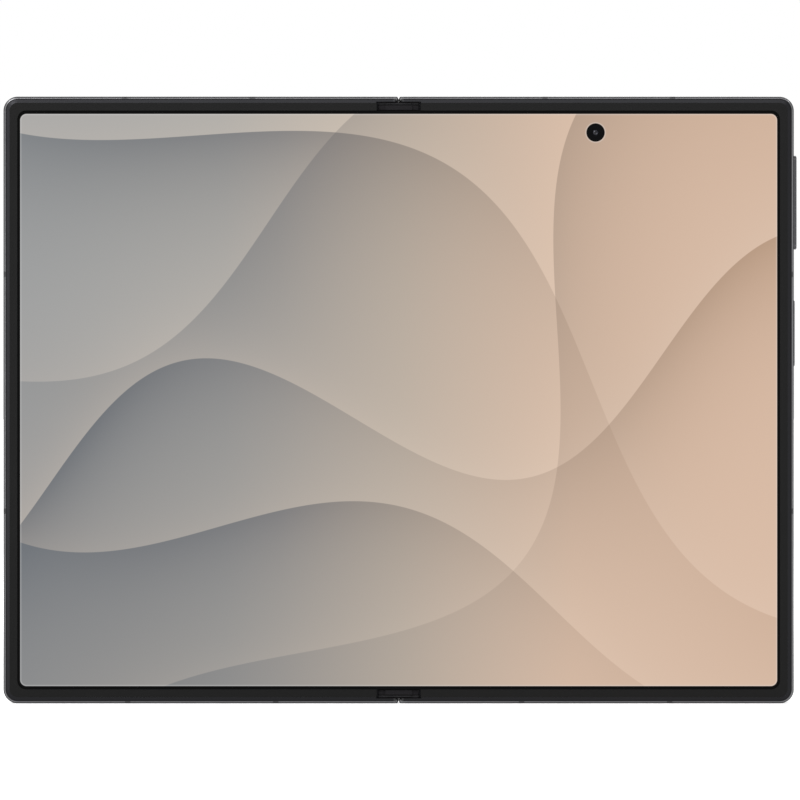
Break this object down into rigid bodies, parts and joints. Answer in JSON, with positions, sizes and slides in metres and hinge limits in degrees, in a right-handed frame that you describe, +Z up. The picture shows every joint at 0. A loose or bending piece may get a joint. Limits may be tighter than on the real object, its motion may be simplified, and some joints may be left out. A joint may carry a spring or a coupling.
{
  "type": "foldable smartphone",
  "caption": "Book-style foldable phone, open, with a geared two-axis hinge, folding inner screen, cover screen, camera plateau, side keys and card tray.",
  "frame": {"origin": "middle of the bottom edge on the fold line, at mid thickness of the opened body", "axes": "+X towards the keys' side, +Y out of the back, +Z up the phone's height; the inner screen faces -Y"},
  "size_m": [0.162, 0.0064, 0.1239],
  "materials": {
    "frame_metal": "fine bead-blasted and anodised, satin",
    "antenna_plastic": "fine matt",
    "bezel_plastic": "fine matt",
    "screen_left": "smooth gloss, lit picture",
    "screen_right": "smooth gloss, lit picture",
    "screen_fold": "smooth gloss, lit picture",
    "hinge_steel": "ground steel",
    "spine_metal": "polished and anodised",
    "trim_black": "fine matt",
    "spring_brass": "plain",
    "flex_polyimide": "smooth",
    "cover_gloss": "polished",
    "back_satin": "etched satin",
    "plateau_glass": "polished",
    "lens_metal": "turned and polished",
    "lens_glass": "coated",
    "flash_lens": "prismatic",
    "battery_foil": "matt foil",
    "board_green": "solder resist",
    "shield_tin": "tin plated",
    "copper": "bare",
    "magnet_nickel": "nickel plated",
    "display_black": "smooth"
  },
  "bodies": {
    "hinge": {"spine_cover": "spine_metal", "spine_end_cap_top": "trim_black", "spine_end_cap_bottom": "trim_black", "hinge_bracket_top": "hinge_steel", "hinge_bracket_middle": "hinge_steel", "hinge_bracket_bottom": "hinge_steel", "hinge_centre_plate": "hinge_steel", "hinge_pins": "hinge_steel", "hinge_disc_springs": "spring_brass", "hinge_bracket_screws": "hinge_steel", "folding_screen_strip": "screen_fold", "hinge_flex_cable": "flex_polyimide"},
    "left_idler": {"idler_gear_left": "hinge_steel"},
    "right_idler": {"idler_gear_right": "hinge_steel"},
    "left_half": {"left_frame": "frame_metal", "left_antenna_bands": "antenna_plastic", "left_bezel": "bezel_plastic", "left_screen_panel": "screen_left", "left_hinge_arms": "hinge_steel", "left_sync_arm": "hinge_steel", "left_arm_screws": "hinge_steel", "cover_glass": "cover_gloss", "cover_screen": "display_black", "cover_camera": "trim_black", "left_battery": "battery_foil", "left_board": "board_green", "left_earpiece": "trim_black", "left_magnets": "magnet_nickel"},
    "left_wing": {"left_wing_plate": "hinge_steel"},
    "right_half": {"right_frame": "frame_metal", "right_antenna_bands": "antenna_plastic", "right_bezel": "bezel_plastic", "right_screen_panel": "screen_right", "right_hinge_arms": "hinge_steel", "right_sync_arm": "hinge_steel", "right_arm_screws": "hinge_steel", "back_glass": "back_satin", "camera_plateau": "plateau_glass", "lens_rings": "lens_metal", "lens_windows": "lens_glass", "rear_camera_modules": "trim_black", "flash_window": "flash_lens", "inner_camera": "trim_black", "right_battery": "battery_foil", "main_board": "board_green", "shield_cans": "shield_tin", "charging_coil": "copper", "charging_port": "shield_tin", "port_tongue": "trim_black", "port_board": "board_green", "loudspeaker": "trim_black", "vibration_motor": "shield_tin", "card_reader": "shield_tin", "key_switches": "flex_polyimide", "right_magnets": "magnet_nickel"},
    "right_wing": {"right_wing_plate": "hinge_steel"},
    "volume_rocker": {"volume_key": "frame_metal"},
    "power_button": {"power_key": "frame_metal"},
    "tray": {"card_tray": "frame_metal"}
  },
  "joints": [
    {"name": "left_fold", "type": "hinge", "parent": "hinge", "child": "left_half", "pos_m": [-0.0018, -0.00075, 0.06195], "axis": [0, 0, 1], "range_deg": [0, 90], "deforming": ["folding_screen_strip", "hinge_flex_cable"]},
    {"name": "right_fold", "type": "hinge", "parent": "hinge", "child": "right_half", "pos_m": [0.0018, -0.00075, 0.06195], "axis": [0, 0, -1], "range_deg": [0, 90]},
    {"name": "left_idler_spin", "type": "hinge", "parent": "hinge", "child": "left_idler", "pos_m": [-0.0008, 0.0005, 0.06195], "axis": [0, 0, 1], "range_deg": [-90, 0]},
    {"name": "right_idler_spin", "type": "hinge", "parent": "hinge", "child": "right_idler", "pos_m": [0.0008, 0.0005, 0.06195], "axis": [0, 0, 1], "range_deg": [0, 90]},
    {"name": "left_wing_tilt", "type": "hinge", "parent": "left_half", "child": "left_wing", "pos_m": [-0.00735, -0.00137, 0.06195], "axis": [0, 0, 1], "range_deg": [0, 21]},
    {"name": "right_wing_tilt", "type": "hinge", "parent": "right_half", "child": "right_wing", "pos_m": [0.00735, -0.00137, 0.06195], "axis": [0, 0, -1], "range_deg": [0, 21]},
    {"name": "volume_rock", "type": "hinge", "parent": "right_half", "child": "volume_rocker", "pos_m": [0.0801, 0, 0.1023], "axis": [0, 1, 0], "range_deg": [-1.2, 1.2], "stiffness_Nm_per_rad": 0.4},
    {"name": "power_press", "type": "slide", "parent": "right_half", "child": "power_button", "axis": [-1, 0, 0], "range_m": [0, 0.0002], "stiffness_N_per_m": 5000},
    {"name": "tray_slide", "type": "slide", "parent": "right_half", "child": "tray", "axis": [0, 0, 1], "range_m": [0, 0.024]}
  ],
  "couplings": [
    {"joint": "right_fold", "follows": "left_fold", "ratio": 1},
    {"joint": "left_idler_spin", "follows": "left_fold", "ratio": -1},
    {"joint": "right_idler_spin", "follows": "left_fold", "ratio": 1},
    {"joint": "left_wing_tilt", "follows": "left_fold", "ratio": 0.23333},
    {"joint": "right_wing_tilt", "follows": "left_fold", "ratio": 0.23333}
  ]
}
